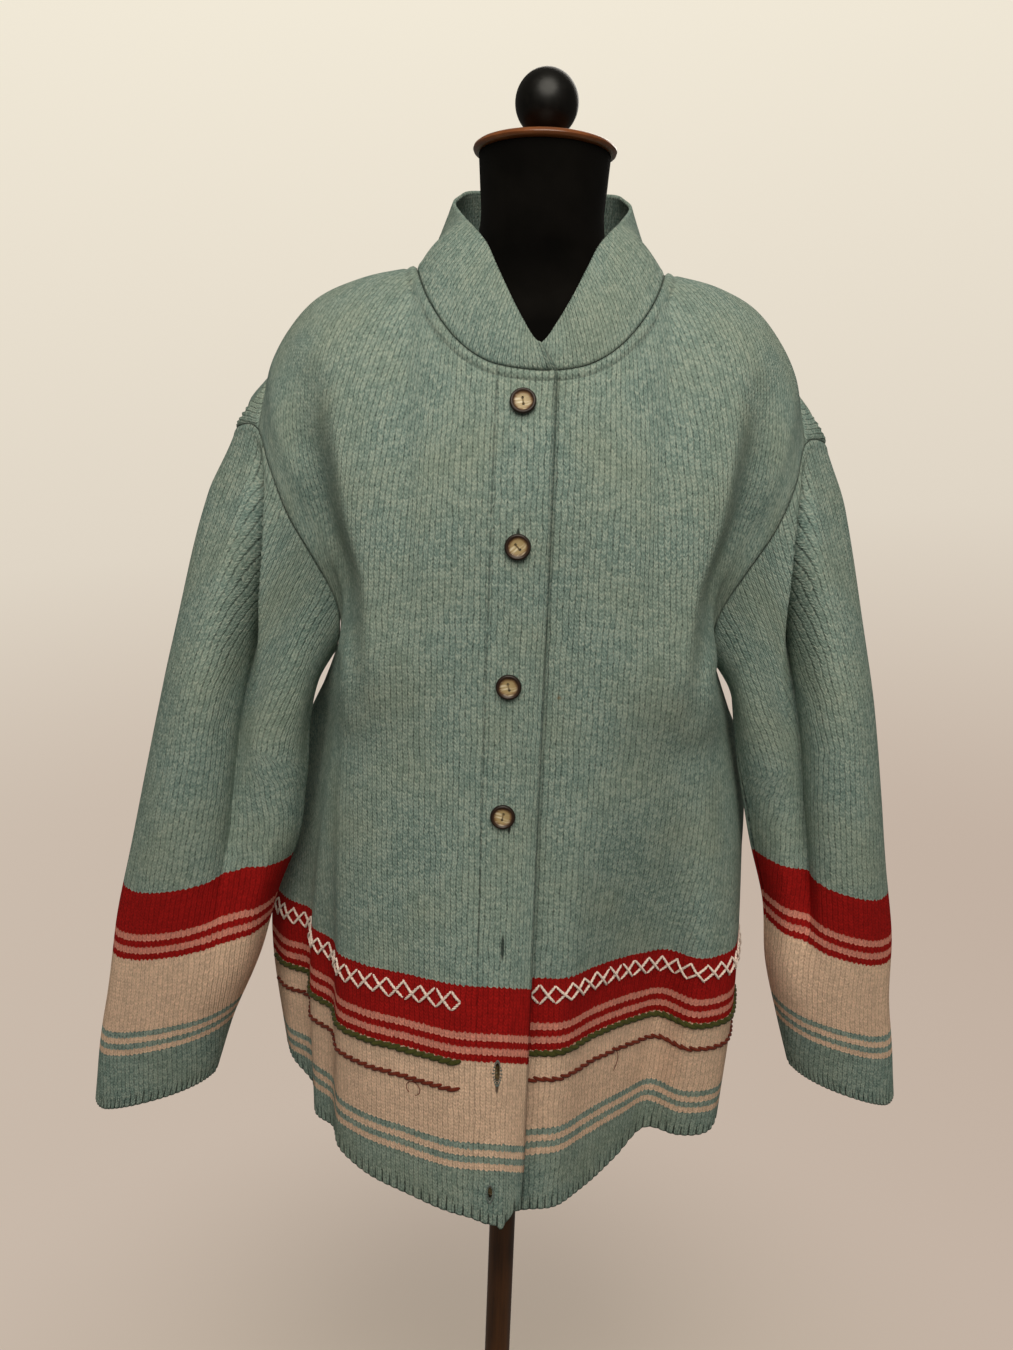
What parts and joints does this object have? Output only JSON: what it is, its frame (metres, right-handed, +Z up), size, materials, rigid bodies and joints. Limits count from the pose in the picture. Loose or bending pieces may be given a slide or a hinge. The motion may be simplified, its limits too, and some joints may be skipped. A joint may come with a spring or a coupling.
{
  "type": "cardigan on a dress form",
  "caption": "Hip-length buttoned wool cardigan with stand collar and dropped shoulders, worn by a limbless padded dress form on a round-based pole stand.",
  "frame": {"origin": "centre of the stand's round base where it meets the floor, on the axis of the pole", "axes": "+Z up along the pole, -Y towards the front with the buttons, +X towards the wearer's left"},
  "size_m": [0.7288, 0.36, 1.5238],
  "materials": {
    "wool": "felted knit, matt",
    "form_cloth": "stretched black cloth, matt",
    "horn": "polished horn",
    "turned_wood": "varnished",
    "knob_paint": "satin black paint",
    "dark_wood": "stained and waxed"
  },
  "bodies": {
    "root": {"front_right": "wool", "front_left": "wool", "back": "wool", "sleeve_right": "wool", "sleeve_left": "wool", "collar": "wool", "facing_right": "wool", "facing_left": "wool", "dress_form": "form_cloth", "button_1": "horn", "button_2": "horn", "button_3": "horn", "button_4": "horn", "button_5": "horn", "button_6": "horn", "button_7": "horn", "neck_cap": "turned_wood", "neck_knob": "knob_paint", "pole": "dark_wood", "base": "dark_wood"}
  },
  "joints": []
}
